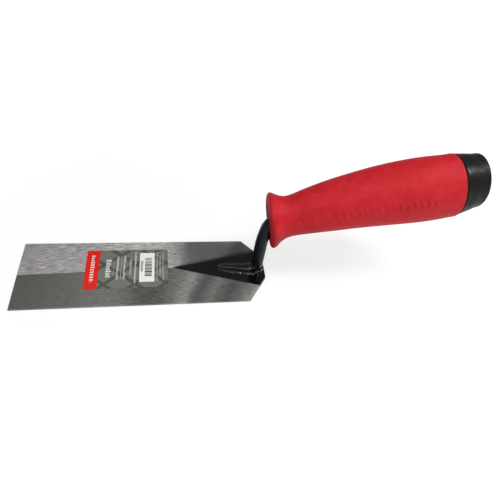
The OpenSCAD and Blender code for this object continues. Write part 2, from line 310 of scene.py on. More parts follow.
def steel_material():
    """Ground steel with grinding marks, painted reflection bands and black overspray beside the V."""
    m = Nodes("ground_steel")
    x, y, z = m.split()
    along = m.math("MULTIPLY", m.math("SUBTRACT", x, X0), 1000.0)      # mm from the front edge
    across = m.math("MULTIPLY", y, 1000.0)
    ridge = m.math("MULTIPLY_ADD", along, RIDGE_SLOPE, RIDGE_Y0 / MM)
    far = m.range(m.math("SUBTRACT", across, ridge), -0.3, 0.3)

    # grinding marks: each facet ground at its own angle
    far_marks = m.noise(m.place((170, 1400, 1), (0, 0, FAR_TURN)), 4.0, 0.70)
    near_marks = m.noise(m.place((190, 1300, 1), (0, 0, NEAR_TURN)), 4.0, 0.70)
    far_fine = m.noise(m.place((420, 4200, 1), (0, 0, FAR_FINE_TURN)), 2.0, 0.6)
    near_fine = m.noise(m.place((420, 4200, 1), (0, 0, NEAR_FINE_TURN)), 2.0, 0.6)
    marks = m.mix(far, near_marks, far_marks)
    fine = m.mix(far, near_fine, far_fine)
    clouds = m.noise(m.place((30, 90, 1), (0, 0, 18)), 3.0, 0.5)
    wobble = m.math("MULTIPLY", m.math("SUBTRACT", clouds, 0.5), 5.0)

    # painted reflection: lighter and darker bands of steel where the lamps and the room reflect, painted
    # into the colour, with the far facet painted lighter than the near; they lean more towards the heel
    lean = m.math("MULTIPLY", m.math("MAXIMUM", m.math("SUBTRACT", along, 76.0), 0.0), 0.0145)
    near_u = m.math("SUBTRACT", along, m.math("MULTIPLY", lean, m.math("ADD", across, 17.0)))
    near_u = m.math("DIVIDE", m.math("ADD", near_u, wobble), REFLECTION_BAND_LENGTH)
    near_painted_reflection = m.ramp(near_u, [
        (0.00, 0.100), (0.12, 0.126), (0.22, 0.160), (0.32, 0.197), (0.375, 0.187), (0.425, 0.142),
        (0.475, 0.110), (0.535, 0.132), (0.585, 0.205), (0.630, 0.285), (0.660, 0.160), (0.686, 0.118),
        (0.735, 0.200), (0.765, 0.152), (0.800, 0.113), (0.825, 0.125), (0.855, 0.182),
        (0.890, 0.250)], "CARDINAL")
    far_lean = m.math("MULTIPLY", m.range(along, 108.0, 128.0), 0.45)
    far_u = m.math("SUBTRACT", along, m.math("MULTIPLY", far_lean, m.math("SUBTRACT", across, 16.0)))
    far_u = m.math("DIVIDE", m.math("MULTIPLY_ADD", wobble, 0.6, far_u), REFLECTION_BAND_LENGTH)
    far_painted_reflection = m.ramp(far_u, [
        (0.00, 0.350), (0.10, 0.418), (0.25, 0.480), (0.40, 0.605), (0.52, 0.618), (0.575, 0.520),
        (0.612, 0.385), (0.638, 0.262), (0.665, 0.210), (0.720, 0.230), (0.790, 0.265), (0.825, 0.195),
        (0.850, 0.145), (0.875, 0.160), (0.905, 0.230)], "CARDINAL")
    # painted reflection: the far facet's ramp is lighter than the near facet's
    painted_reflection = m.mix(far, near_painted_reflection, far_painted_reflection)

    # a faint warm cast in patches, mostly on the far facet and in front of the V
    tint = m.mix(far, (1.0, 1.005, 0.92), (1.02, 0.995, 0.98))
    tint = m.mix(m.range(along, 90.0, 104.0), tint, (1.0, 1.005, 0.955))
    warm = m.noise(m.place((60, 130, 1), (0, 0, 8), (0.3, 0.1, 0)), 2.0, 0.5)
    pink = m.range(warm, 0.45, 0.7, 0.0, 0.5)
    pink = m.math("MULTIPLY", pink, m.range(along, 85.0, 100.0, 1.0, 0.25))
    pink = m.math("MULTIPLY", pink, m.range(far, 0.0, 1.0, 0.35, 1.0))
    tint = m.mix(pink, tint, (1.05, 0.97, 0.96))
    base = m.mix(1.0, painted_reflection, tint, "MULTIPLY")

    # the marks show as streaks, calmer near the front edge and beside the V
    streak = m.ramp(marks, [(0.30, 0.40), (0.45, 0.82), (0.55, 1.16), (0.70, 1.90)])
    near_calm = m.range(along, 30.0, 75.0, 0.66, 0.24)
    near_calm = m.math("ADD", near_calm, m.range(along, 98.0, 112.0, 0.0, 0.20))
    calm = m.mix(far, near_calm, m.range(along, 98.0, 110.0, 0.0, 0.62))
    streak = m.mix(calm, streak, (1.0, 1.0, 1.0))
    base = m.mix(1.0, base, streak, "MULTIPLY")
    hair = m.ramp(fine, [(0.3, 0.80), (0.5, 1.0), (0.72, 1.28)])
    base = m.mix(1.0, base, hair, "MULTIPLY")

    # black coat: sharp on the near side of the V, a smoky overspray on the far side
    d = m.math("SUBTRACT", along, V_TIP / MM)
    near_off = m.math("SUBTRACT", m.math("MULTIPLY_ADD", d, -NEAR_SLOPE, V_TIP_Y / MM), across)
    far_off = m.math("SUBTRACT", across, m.math("MULTIPLY_ADD", d, FAR_SLOPE, V_TIP_Y / MM))
    reach = m.math("MULTIPLY_ADD", m.math("MAXIMUM", d, 0.0), 0.075, 2.6)
    puff = m.math("MULTIPLY", m.math("SUBTRACT", clouds, 0.5), 0.35)
    mist = m.math("ADD", m.math("DIVIDE", far_off, reach), puff)
    mist = m.range(mist, -0.12, 1.0, 1.0, 0.0, "SMOOTHERSTEP")
    mist = m.math("MULTIPLY", mist, m.range(d, -1.5, 3.0))
    inside = m.math("MULTIPLY", m.range(near_off, 0.25, -0.05), m.range(d, -0.3, 0.3))
    haze = m.math("MULTIPLY", mist, inside)
    base = m.mix(haze, base, (0.012, 0.013, 0.014))
    behind = m.range(along, BEHIND_PLATE, BEHIND_PLATE + 0.25)
    black = m.math("MAXIMUM", behind, m.math("MULTIPLY", inside, m.range(far_off, 0.1, -0.1)))
    base = m.mix(black, base, (0.006, 0.007, 0.0075))

    # bright worn line along the cut edges
    top = m.range(z, 0.0002, 0.0006)
    rim = m.math("MULTIPLY", band(m, m.math("ABSOLUTE", across), CUT_EDGE, 30.0, 0.12), top)
    base = m.mix(m.math("MULTIPLY", rim, 0.18), base, (0.34, 0.33, 0.31))
    rough = m.math("MULTIPLY_ADD", m.math("SUBTRACT", marks, 0.5), 0.22, 0.36)
    rough = m.math("MULTIPLY_ADD", black, 0.20, rough)
    coat = m.math("MAXIMUM", black, haze)
    metal = m.math("MULTIPLY", m.math("SUBTRACT", 1.0, coat, clamp=True), 0.55)
    height = m.math("MULTIPLY_ADD", fine, 0.5, marks)
    normal = m.bump(m.math("MULTIPLY", height, m.math("SUBTRACT", 1.0, black)), 0.00002, 0.5)
    return m.set(Base_Color=base, Roughness=rough, Metallic=metal, Normal=normal, Anisotropic=0.35)


def lacquer_material():
    """Glossy black coat with painted shade round the heel, and overspray and a little dust on its far
    side.
    """
    m = Nodes("black_lacquer")
    x, y, _ = m.split()
    cloud = m.noise(m.place((120, 120, 120)), 3.0, 0.6)
    speck = m.noise(m.place((2400, 2400, 2400)), 1.0, 0.5)
    dust = m.ramp(speck, [(0.70, 0.0), (0.78, 1.0)])
    base = m.mix(cloud, (0.0018, 0.0026, 0.0031), (0.0034, 0.0044, 0.0050))
    # painted shade: darkest round the heel, where the rod stands on the coat
    heel = m.range(x, X0 + 0.138, X0 + 0.146)
    base = m.mix(m.math("MULTIPLY", heel, 0.85), base, (0.0003, 0.0004, 0.0006))
    spray = m.math("MULTIPLY", m.range(y, 0.001, 0.006), m.range(x, X0 + 0.118, X0 + 0.132))
    base = m.mix(m.math("MULTIPLY", spray, 0.5), base, (0.0085, 0.0080, 0.0088))
    dust = m.math("MULTIPLY", dust, m.math("MULTIPLY_ADD", spray, 0.35, 0.10))
    base = m.mix(dust, base, (0.08, 0.08, 0.08))
    rough = m.range(cloud, 0.3, 0.7, 0.05, 0.09)
    peel = m.noise(m.place((700, 700, 700)), 2.0, 0.5)
    return m.set(Base_Color=base, Roughness=rough, Normal=m.bump(peel, 0.00001, 0.15), IOR=1.5)


def paint_material(name, wet_to, shine):
    """Black paint over forged or welded steel, thick and wet-looking below the height wet_to."""
    m = Nodes(name)
    _, _, z = m.split()
    wet = m.range(z, wet_to - 0.0015, wet_to + 0.0015, 1.0, 0.0)
    cloud = m.noise(m.place((160, 160, 160)), 4.0, 0.6)
    peel = m.noise(m.place((1100, 1100, 600)), 3.0, 0.55)
    drops = m.noise(m.place((900, 1300, 900)), 2.0, 0.5)
    base = m.mix(cloud, (0.0018, 0.0030, 0.0056), (0.0050, 0.0060, 0.0102))
    base = m.mix(m.math("MULTIPLY", wet, 0.7), base, (0.0004, 0.0007, 0.0013))
    scuff = m.ramp(m.noise(m.place((420, 420, 160)), 5.0, 0.7), [(0.60, 0.0), (0.76, 1.0)])
    base = m.mix(m.math("MULTIPLY", scuff, 0.20), base, (0.030, 0.029, 0.034))
    dry = m.range(cloud, 0.3, 0.75, 0.30, 0.40)
    rough = m.range(wet, 0.0, 1.0, dry, 0.07, "LINEAR")
    normal = m.bump(peel, 0.00004, 0.4)
    normal = m.bump(m.math("MULTIPLY", drops, wet), 0.00028, 0.75, normal)
    return m.set(Base_Color=base, Roughness=rough, Normal=normal, Specular_IOR_Level=shine,
                 Coat_Weight=wet, Coat_Roughness=0.04, Coat_Normal=normal)


def grip_material():
    """Satin red soft plastic, mottled at several scales, with painted shade round the front rim."""
    m = Nodes("red_soft_grip")
    axial = grip_distance(m, GRIP_T)
    up = grip_distance(m, GRIP_N)
    broad = m.noise(m.place((26, 26, 26)), 3.0, 0.55)
    mottle = m.noise(m.place((160, 160, 160)), 4.0, 0.6)
    pores = m.noise(m.place((1300, 1300, 1300)), 3.0, 0.6)
    frost = m.noise(m.place((620, 620, 620), (0, 0, 0), (0.002, 0.001, 0.003)), 3.0, 0.6)
    grain = m.noise(m.place((3400, 3400, 3400)), 2.0, 0.5)
    base = m.mix(m.range(broad, 0.3, 0.7), (0.440, 0.0088, 0.0148), (0.490, 0.0125, 0.0190))
    base = m.mix(m.range(mottle, 0.40, 0.74, 0.0, 0.60), base, (0.58, 0.026, 0.036))
    base = m.mix(m.range(pores, 0.36, 0.64, 0.0, 0.24), base, (0.31, 0.003, 0.009))
    base = m.mix(m.range(frost, 0.52, 0.72, 0.0, 0.22), base, (0.66, 0.034, 0.046))

    # painted shade: darker round the front rim, least at its top, and low down behind it
    rim = m.range(axial, 0.0, 0.0058, 0.70, 0.0)
    rim = m.math("MULTIPLY", rim, m.range(up, 0.0065, 0.0100, 1.0, 0.25))
    base = m.mix(rim, base, (0.15, 0.003, 0.007))
    # painted shade low down on the front of the grip
    low = m.math("MULTIPLY", m.range(up, 0.001, -0.012), m.range(axial, 0.004, 0.050, 0.42, 0.0))
    base = m.mix(low, base, (0.20, 0.004, 0.009))
    rough = m.math("MULTIPLY_ADD", pores, 0.10, m.range(mottle, 0.3, 0.7, 0.50, 0.60))
    rough = m.math("MAXIMUM", rough, m.range(axial, 0.0004, 0.0024, 0.98, 0.0))
    normal = m.bump(pores, 0.00004, 0.25, m.bump(grain, 0.00002, 0.3))
    return m.set(Base_Color=base, Roughness=rough, Normal=normal, Specular_IOR_Level=0.15)


def cap_material():
    """Black moulded plastic with a faint sheen where it is worn."""
    m = Nodes("black_cap_plastic")
    cloud = m.noise(m.place((90, 90, 90)), 3.0, 0.6)
    grain = m.noise(m.place((2600, 2600, 2600)), 2.0, 0.5)
    rub = m.noise(m.place((60, 700, 700), (0, 13.5, 0)), 3.0, 0.6)
    gloss = m.noise(m.place((300, 300, 300), (0, 0, 0), (0.004, 0.001, 0.002)), 2.0, 0.5)
    base = m.mix(cloud, (0.0085, 0.0088, 0.0082), (0.0150, 0.0150, 0.0142))
    base = m.mix(m.range(rub, 0.6, 0.8, 0.0, 0.2), base, (0.03, 0.03, 0.03))
    rough = m.math("MULTIPLY_ADD", grain, 0.06, m.range(cloud, 0.3, 0.7, 0.32, 0.40))

    # bands that hands and work have polished: by the joint, behind it and at the rear corner
    axial = grip_distance(m, GRIP_T)
    polish = band(m, axial, 0.1113, 0.1128, 0.0006)
    for start, end, soft, share in ((0.1185, 0.1200, 0.0009, 0.35), (0.1132, 0.1155, 0.0007, 0.30)):
        polish = m.math("MULTIPLY_ADD", band(m, axial, start, end, soft), share, polish)
    coat = m.math("MULTIPLY_ADD", m.range(gloss, 0.50, 0.66), 0.020, m.math("MULTIPLY", polish, 0.085))
    return m.set(Base_Color=base, Roughness=rough, Normal=m.bump(grain, 0.00003, 0.3),
                 Specular_IOR_Level=0.075, Coat_Weight=coat, Coat_Roughness=0.10)


def core_material():
    """Matt black moulded plastic."""
    m = Nodes("black_core_plastic")
    cloud = m.noise(m.place((140, 140, 140)), 3.0, 0.6)
    grain = m.noise(m.place((2200, 2200, 2200)), 2.0, 0.5)
    base = m.mix(cloud, (0.006, 0.006, 0.006), (0.012, 0.012, 0.0115))
    rough = m.range(cloud, 0.3, 0.7, 0.50, 0.62)
    return m.set(Base_Color=base, Roughness=rough, Normal=m.bump(grain, 0.00004, 0.4),
                 Specular_IOR_Level=0.02)


STROKE_STEP, STROKE_HALF = 15.5, 1.45         # the sticker's lattice, in mm


def label_material():
    """Sticker with a red end, a grey field with a lattice and a white patch, and no lettering."""
    m = Nodes("printed_sticker")
    x, y, _ = m.split()
    u = m.math("MULTIPLY", m.math("SUBTRACT", x, label_lo.x), 1000.0)   # mm from the red end
    v = m.math("MULTIPLY", m.math("SUBTRACT", y, label_lo.y), 1000.0)   # mm from the near edge

    def block(u0, u1, v0, v1, soft=0.08):
        return m.math("MULTIPLY", band(m, u, u0, u1, soft), band(m, v, v0, v1, soft))

    # plain lattice of wide strokes under the print
    def stroke(slope, shift):
        d = m.math("ADD", m.math("MULTIPLY", u, slope), m.math("ADD", v, shift))
        w = m.math("PINGPONG", d, STROKE_STEP / 2)
        return m.range(w, STROKE_HALF - 0.15, STROKE_HALF + 0.15, 1.0, 0.0)

    lattice = m.math("MAXIMUM", stroke(0.82, 3.0), stroke(-0.82, 6.5))
    paper = m.noise(m.place((900, 900, 900)), 3.0, 0.6)
    grey = m.mix(paper, (0.124, 0.128, 0.110), (0.156, 0.159, 0.140))
    base = m.mix(m.math("MULTIPLY", lattice, 0.88), grey, (0.058, 0.060, 0.055))
    worn = m.noise(m.place((1900, 2600, 1)), 2.0, 0.6)

    # a row in place of print: broken dashes of uneven height, no letters
    def dashes(u0, u1, v0, v1, step, fill, seed):
        place = m.math("DIVIDE", v, step)
        chance = m.random_step(place, seed)
        dash = band(m, m.math("FRACT", place), 0.5 - fill / 2, 0.5 + fill / 2, 0.06)
        tall = m.math("MULTIPLY_ADD", chance, 0.45 * (u1 - u0), u0 + 0.55 * (u1 - u0))
        height = m.range(m.math("SUBTRACT", u, tall), -0.08, 0.08, 1.0, 0.0)
        mask = m.math("MULTIPLY", m.math("MULTIPLY", height, dash), block(u0, u1, v0, v1))
        return m.math("MULTIPLY", mask, m.range(worn, 0.30, 0.55, 0.35, 1.0))

    # each row's start and end in u and in v, its step, the share filled, a seed and a shade
    rows = [
        (12.3, 15.8, 8.3, 23.2, 1.35, 0.50, 1.0, 0.82),
        (18.7, 20.3, 6.3, 25.2, 0.92, 0.72, 2.0, 0.50),
        (22.9, 24.5, 6.3, 26.0, 0.92, 0.72, 3.0, 0.50),
        (26.8, 28.0, 9.8, 22.8, 0.80, 0.70, 4.0, 0.46),
        (29.7, 31.0, 3.4, 28.8, 0.80, 0.74, 5.0, 0.50),
        (43.4, 44.4, 4.2, 28.6, 0.70, 0.74, 6.0, 0.36),
        (45.3, 46.3, 8.0, 24.6, 0.70, 0.72, 7.0, 0.34),
        (47.2, 48.2, 4.6, 28.0, 0.70, 0.74, 8.0, 0.36),
    ]
    for u0, u1, v0, v1, step, fill, seed, shade in rows:
        base = m.mix(dashes(u0, u1, v0, v1, step, fill, seed), base, (shade, shade, shade * 0.95))
    for u0, u1, v0, v1 in ((21.4, 21.7, 6.5, 26.0), (16.9, 17.1, 9.0, 22.0)):
        base = m.mix(block(u0, u1, v0, v1, 0.05), base, (0.36, 0.36, 0.34))

    # white patch with plain bars of uneven width, fine ones and heavier ones
    base = m.mix(block(32.9, 42.2, 4.0, 28.0, 0.06), base, (0.74, 0.74, 0.69))
    for pitch, thin, more, seed in ((0.92, 0.22, 0.45, 11.0), (2.75, 0.20, 0.30, 14.0)):
        place = m.math("DIVIDE", v, pitch)
        thick = m.math("MULTIPLY_ADD", m.random_step(place, seed), more, thin)
        bars = m.math("LESS_THAN", m.math("FRACT", place), thick)
        bars = m.math("MULTIPLY", bars, block(36.2, 40.6, 7.6, 23.9, 0.05))
        base = m.mix(bars, base, (0.045, 0.045, 0.045))
    base = m.mix(dashes(33.7, 35.4, 11.6, 21.0, 0.85, 0.78, 12.0), base, (0.07, 0.07, 0.07))

    # red end with a plain row of pale strokes
    base = m.mix(block(-1.0, 8.0, -1.0, 40.0, 0.06), base, (0.62, 0.006, 0.0012))
    base = m.mix(dashes(3.0, 5.7, 5.2, 26.6, 1.95, 0.46, 13.0), base, (0.86, 0.78, 0.76))
    rough = m.range(paper, 0.3, 0.7, 0.34, 0.46)
    return m.set(Base_Color=base, Roughness=rough, Normal=m.bump(paper, 0.00001, 0.3), IOR=1.5,
                 Specular_IOR_Level=0.40, Coat_Weight=0.05, Coat_Roughness=0.25)


def floor_material():
    """Pale light table: partly lit from below, so shadows stay soft, and more so far away."""
    m = Nodes("pale_floor")
    n = m.noise(m.place((9, 9, 9)), 3.0, 0.5)
    base = m.mix(n, (0.255, 0.255, 0.253), (0.265, 0.265, 0.263))
    x, y, _ = m.split()
    far = m.math("SQRT", m.math("MULTIPLY_ADD", x, x, m.math("MULTIPLY", y, y)))
    glow = m.range(far, 0.07, 0.42, 0.71, 0.83, "LINEAR")
    glow = m.math("ADD", glow, m.range(far, 0.45, 1.8, 0.0, 0.16, "LINEAR"))
    return m.set(Base_Color=base, Roughness=0.9, Specular_IOR_Level=0.1,
                 Emission_Color=(1.0, 1.0, 0.998), Emission_Strength=glow)


STEEL = steel_material()
LACQUER = lacquer_material()
SHANK_PAINT = paint_material("black_shank_paint", 0.0075, 0.16)
WELD_PAINT = paint_material("black_weld_paint", 0.020, 0.10)
GRIP = grip_material()
CAP = cap_material()
CORE = core_material()
LABEL = label_material()


# ---------------------------------------------------------------- blade
BEVEL = 0.16 * MM                             # drop of the worn edges
GROUND_COLS, STRIP_COLS = 22, 8               # faces across each facet and across the strip between


def outline_half(x):
    """Half the blade's width, x from the front edge."""
    cut = (x - (BLADE_L - CLIP)) / CLIP
    return HALF_W if cut <= 0 else lerp(HALF_W, REAR_HALF, cut)


def edges(x):
    """Near and far limits of the flat strip on top: the ridge line in front, the V behind it."""
    if x <= V_TIP:
        y = RIDGE_Y0 + RIDGE_SLOPE * x
        return y - RIDGE_FLAT, y + RIDGE_FLAT
    d = x - V_TIP
    return V_TIP_Y - RIDGE_FLAT - NEAR_SLOPE * d, V_TIP_Y + RIDGE_FLAT + FAR_SLOPE * d


def ridge_height(x):
    return min(PLATE_T, FRONT_T + (PLATE_T - FRONT_T) * x / V_TIP)


def top_height(x, y):
    """Ground surface height, x from the front edge."""
    near, far = edges(x)
    h = ridge_height(x)
    if y > far:
        h = lerp(h, EDGE_T, min(1.0, (y - far) / (HALF_W - far)))
    elif y < near:
        h = lerp(h, EDGE_T, min(1.0, (near - y) / (HALF_W + near)))
    if x <= BLADE_L - CLIP * 1.6:
        return h
    # light bevel worked along the clipped corners
    run = math.hypot(CLIP, HALF_W - REAR_HALF)
    off = ((BLADE_L - x) * (HALF_W - REAR_HALF) - (abs(y) - REAR_HALF) * CLIP) / run
    ground = smooth(0, 1.5 * MM, max(y - far, near - y))
    return h - BEVEL * ground * (1 - smooth(0.2 * MM, 2.0 * MM, off))


def build_blade():
    """Plate with two ground facets, the strip between them, a softened rim and a flat underside."""
    long, row_step = BLADE_L / MM, 1.2
    xs = [0.0, 0.12, 0.3]
    while xs[-1] + row_step < long - 0.4:
        xs.append(xs[-1] + row_step)
    xs += [long - 0.3, long - 0.1, long, (BLADE_L - CLIP) / MM, V_TIP / MM]
    rows = []
    for xm in sorted(set(round(v, 4) for v in xs)):
        x = xm * MM
        w = outline_half(x)
        tuck = 0.12 * MM * (1 - smooth(0, 0.25 * MM, min(x, BLADE_L - x)))
        near, far = edges(x)
        far, near = min(far, w - 0.7 * MM), max(near, -(w - 0.7 * MM))
        inner = w - 0.5 * MM
        ys = [w - 0.05 * MM, w - 0.2 * MM]
        ys += [lerp(inner, far, k / GROUND_COLS) for k in range(GROUND_COLS + 1)]
        ys += [lerp(far, near, k / STRIP_COLS) for k in range(1, STRIP_COLS)]
        ys += [lerp(near, -inner, k / GROUND_COLS) for k in range(GROUND_COLS + 1)]
        ys += [-(w - 0.2 * MM), -(w - 0.05 * MM)]
        drops = [BEVEL if abs(yy) > w - 0.1 * MM else 0 for yy in ys]
        ring = [(x, yy, top_height(x, yy) - tuck - drop) for yy, drop in zip(ys, drops)]
        side = top_height(x, w) * 0.6
        ring += [(x, -w, side), (x, -w, 0.14 * MM + tuck), (x, -w + 0.12 * MM, tuck), (x, 0.0, tuck),
                 (x, w - 0.12 * MM, tuck), (x, w, 0.14 * MM + tuck), (x, w, side)]
        rows.append([(X0 + p[0], p[1], p[2]) for p in ring])
    verts, faces = skin(rows)
    return make_object("blade_plate", verts, faces, STEEL, ["blade"], 28)


LACQUER_T = 0.06 * MM
LACQUER_AHEAD, LACQUER_STEP, LACQUER_ROWS = 0.7, 0.9, 67      # mm before the V's point, mm a row
LACQUER_WIDE = 0.20 * MM                      # the point is painted a little wide


def build_lacquer():
    """Thin coat over the V: a crisp masked edge on the near side, feathered out on the far side."""
    xs = [V_TIP / MM - LACQUER_AHEAD + k * LACQUER_STEP for k in range(LACQUER_ROWS)]
    rows = []
    t = LACQUER_T
    for xm in xs + [BLADE_L / MM - 0.06]:
        x = xm * MM
        w = outline_half(x) - 0.2 * MM
        near, far = edges(x)
        blunt = LACQUER_WIDE * (1 - smooth(V_TIP, V_TIP + 9 * MM, x))
        near, far = max(near - blunt, -w), min(far + blunt, w)
        e = min(0.12 * MM, (far - near) * 0.2)
        feather = min(1.2 * MM, (far - near) * 0.5)
        ys = [far, far - feather * 0.5, far - feather]
        ys += [lerp(far - feather, near + e, k / 12) for k in range(1, 12)]
        ys += [near + e, near + e * 0.35, near]
        zs = [0.004 * MM, t * 0.6, t] + [t] * 11 + [t, t * 0.75, 0.0]
        ring = [(X0 + x, yy, top_height(x, yy) + zz) for yy, zz in zip(ys, zs)]
        ring += [(X0 + x, near + e, PLATE_T - t), (X0 + x, far - e, PLATE_T - t)]
        rows.append(ring)
    verts, faces = skin(rows)
    return make_object("v_lacquer", verts, faces, LACQUER, ["blade_lacquer"], 40)


def build_label():
    """Sticker that follows both facets, with its two rear corners rounded."""
    lo, hi = label_lo.y, label_hi.y
    lift, thick, corner, steps = 0.02 * MM, 0.13 * MM, 1.5 * MM, 90
    rows = []
    for i in range(steps + 1):
        x = lerp(label_lo.x, label_hi.x, i / steps)
        d = label_hi.x - x
        pull = corner - math.sqrt(max(0.0, corner ** 2 - (corner - d) ** 2)) if d < corner else 0.0
        near, far = edges(x - X0)
        yy = [lerp(hi - pull, far, k / 18) for k in range(19)]
        yy += [lerp(near, lo + pull, k / 16) for k in range(17)]
        top = [(x, y, top_height(x - X0, y) + lift + thick) for y in yy]
        under = [(x, y, top_height(x - X0, y) + lift) for y in reversed(yy)]
        rows.append(top + under)
    verts, faces = skin(rows)
    return make_object("sticker", verts, faces, LABEL, ["size_label"], 40)


# ---------------------------------------------------------------- shank, foot and welds
SHANK_X = X0 + 147.2 * MM
ROD_R = 3.88 * MM
LEAN_Z, LEAN_R, LEAN_A = 25.0 * MM, 80.0 * MM, math.radians(10.5)
BEND_R = 12.0 * MM
TANG = 84.0 * MM


def shank_path():
    """Middle line of the rod: upright, lean, bend and tang."""
    pts = [(SHANK_X, 0, PLATE_T + (LEAN_Z - PLATE_T) * k / 24) for k in range(24)]
    for k in range(20):
        a = LEAN_A * k / 20
        pts.append((SHANK_X + LEAN_R * (1 - math.cos(a)), 0, LEAN_Z + LEAN_R * math.sin(a)))
    cx = SHANK_X + LEAN_R * (1 - math.cos(LEAN_A)) + BEND_R * math.cos(LEAN_A)
    cz = LEAN_Z + LEAN_R * math.sin(LEAN_A) - BEND_R * math.sin(LEAN_A)
    end = math.pi / 2 - TILT
    for k in range(33):
        a = lerp(LEAN_A, end, k / 32)
        pts.append((cx - BEND_R * math.cos(a), 0, cz + BEND_R * math.sin(a)))
    last = Vector(pts[-1])
    for k in range(1, 9):
        pts.append(tuple(last + GRIP_T * (TANG * k / 8)))
    return pts


# the foot's middle, half width and height, each at a place in mm from the front edge
FOOT_FRONT, FOOT_REAR = 121.2, 151.0
FOOT_MID = [(121.2, 0.95), (124, 0.8), (142, -0.85), (147.2, 0.0), (151.5, 0.0)]
FOOT_HALF = [(121.2, 0.35), (121.8, 0.8), (123, 1.1), (126, 1.35), (130, 1.6), (134, 1.95),
             (138, 2.4), (142, 2.8), (146, 3.5), (148.5, 3.7), (150.2, 2.6), (151.0, 1.2)]
FOOT_TOP = [(121.2, 0.5), (121.8, 0.95), (123, 1.2), (126, 1.35), (130, 1.5), (134, 1.65), (138, 1.8),
            (141, 2.0), (143, 2.6), (144.5, 4.0), (145.5, 4.6), (148.5, 3.2), (150.2, 1.9), (151.0, 0.6)]


def lump(x, y, seed):
    """Small uneven swell of a forged surface, from -1 to 1."""
    a, b = x + seed * 1.7, y - seed * 0.9
    first = math.sin(a * 2.1 + 1.3 * math.sin(b * 1.7 + seed))
    second = math.sin(b * 2.7 - 1.1 * math.sin(a * 1.3))
    return (first + 0.8 * second) / 1.8


def build_shank():
    """Round rod, with a forged foot that runs forward from its heel."""
    rod = tube(shank_path(), lambda t: ROD_R - 0.06 * MM * t, 64)
    verts, faces = skin(rod)
    n, across = 110, 30
    rows = []
    for k in range(n + 1):
        xm = lerp(FOOT_FRONT, FOOT_REAR, k / n)
        c, w, h = (piecewise(t, xm) * MM for t in (FOOT_MID, FOOT_HALF, FOOT_TOP))
        ring = []
        for j in range(across + 1):
            q = math.pi * j / across
            yy = c + w * math.copysign(abs(math.cos(q)) ** 0.42, math.cos(q)) * (1 - 0.10 * math.sin(q))
            zz = h * math.sin(q) ** 0.40 if 0 < j < across else -0.03 * MM
            crown = 0.14 * MM * math.sin(q) ** 2
            rough = 0.09 * MM * lump(xm, yy / MM, 2) * math.sin(q)
            ring.append((X0 + xm * MM, yy, PLATE_T + zz + crown + rough))
        rows.append(ring)
    verts, faces = add_shell(verts, faces, *skin(rows))
    return make_object("cranked_shank", verts, faces, SHANK_PAINT, ["shank"], 50)


def bead(name, path, radius, node, seed, wide=1.0):
    """Weld bead: crescent ripples along a path on the plate, radius as a function of place."""
    rows = []
    n, across = len(path) - 1, 22
    steps = [(Vector(b) - Vector(a)).length for a, b in zip(path, path[1:])]
    whole = sum(steps)
    for i, p in enumerate(path):
        a = Vector(path[max(i - 1, 0)])
        b = Vector(path[min(i + 1, n)])
        t = (b - a).normalized()
        side = Vector((0, 0, 1)).cross(t).normalized()
        travelled = sum(steps[:i])
        r = radius(i / n)
        cap = 1.0
        for left in (travelled, whole - travelled):
            cap *= min(1.0, math.sqrt(max(0.0, 1 - (1 - min(left / r, 1)) ** 2)) + 0.03)
        ring = []
        for j in range(across + 1):
            q = math.pi * j / across
            # ripples lag at the sides, so each puddle reads as a crescent
            lag = 0.75 * MM * (math.sin(q) - 1)
            s = (travelled + lag) / (1.25 * MM) + 0.30 * math.sin(travelled / (2.7 * MM) + seed)
            f = s - math.floor(s)
            wave = 1 + 0.27 * (1 - abs(2 * f - 1) ** 1.7) - 0.10
            wave += 0.05 * math.sin(5.3 * s + seed) * math.sin(q)
            rr = r * cap * wave
            flat = side * (math.cos(q) * rr * wide)
            ring.append(Vector(p) + flat + Vector((0, 0, 1)) * (math.sin(q) * rr * 0.85))
        for way in (-1, 1):
            ring.append(Vector(p) + side * (way * r * cap * 0.9 * wide) - Vector((0, 0, 0.0001)))
        rows.append(ring)
    verts, faces = skin(rows)
    return make_object(name, verts, faces, WELD_PAINT, [node], 60)


def build_welds():
    """Two side beads along the foot, the near one wider and further out, and one round the heel."""
    z = PLATE_T + 0.05 * MM
    for side, node, width, wide in ((1, "weld_left", 0.9, 1.0), (-1, "weld_right", 0.95, 1.45)):
        pts = []
        for k in range(141):
            xm = lerp(121.9, 145.6, k / 140)
            off = 0.25 if side > 0 else 0.5 + 1.15 * smooth(122, 129, xm)
            y = piecewise(FOOT_MID, xm) + side * (piecewise(FOOT_HALF, xm) + off)
            pts.append((X0 + xm * MM, (y + 0.12 * math.sin(xm * 0.9 + side)) * MM, z))
        name = node.replace("weld", "bead")
        bead(name, pts, lambda t: (width + 0.30 * smooth(0, 0.4, t)) * MM, node, 1.7 * side, wide)
    pts = []
    for k in range(101):
        a = math.radians(lerp(-112, 112, k / 100))
        r = ROD_R + 0.45 * MM
        pts.append((SHANK_X + r * 0.97 * math.cos(a), r * math.sin(a), z))
    bead("bead_heel", pts, lambda t: (1.30 - 0.35 * smooth(0.25, 0.55, t)) * MM, "weld_heel", 0.4)


# ---------------------------------------------------------------- grip and cap
W_RATIO, GRIP_SEG = 0.86, 128                 # width over height of each ring, and points round it
RIM_S, RIM_LEAN, RIM_N = 0.3, math.radians(2.0), -14.0
RIM_SKEW, RIM_FORE = 0.055, -0.35             # the moulded rim sits a little askew
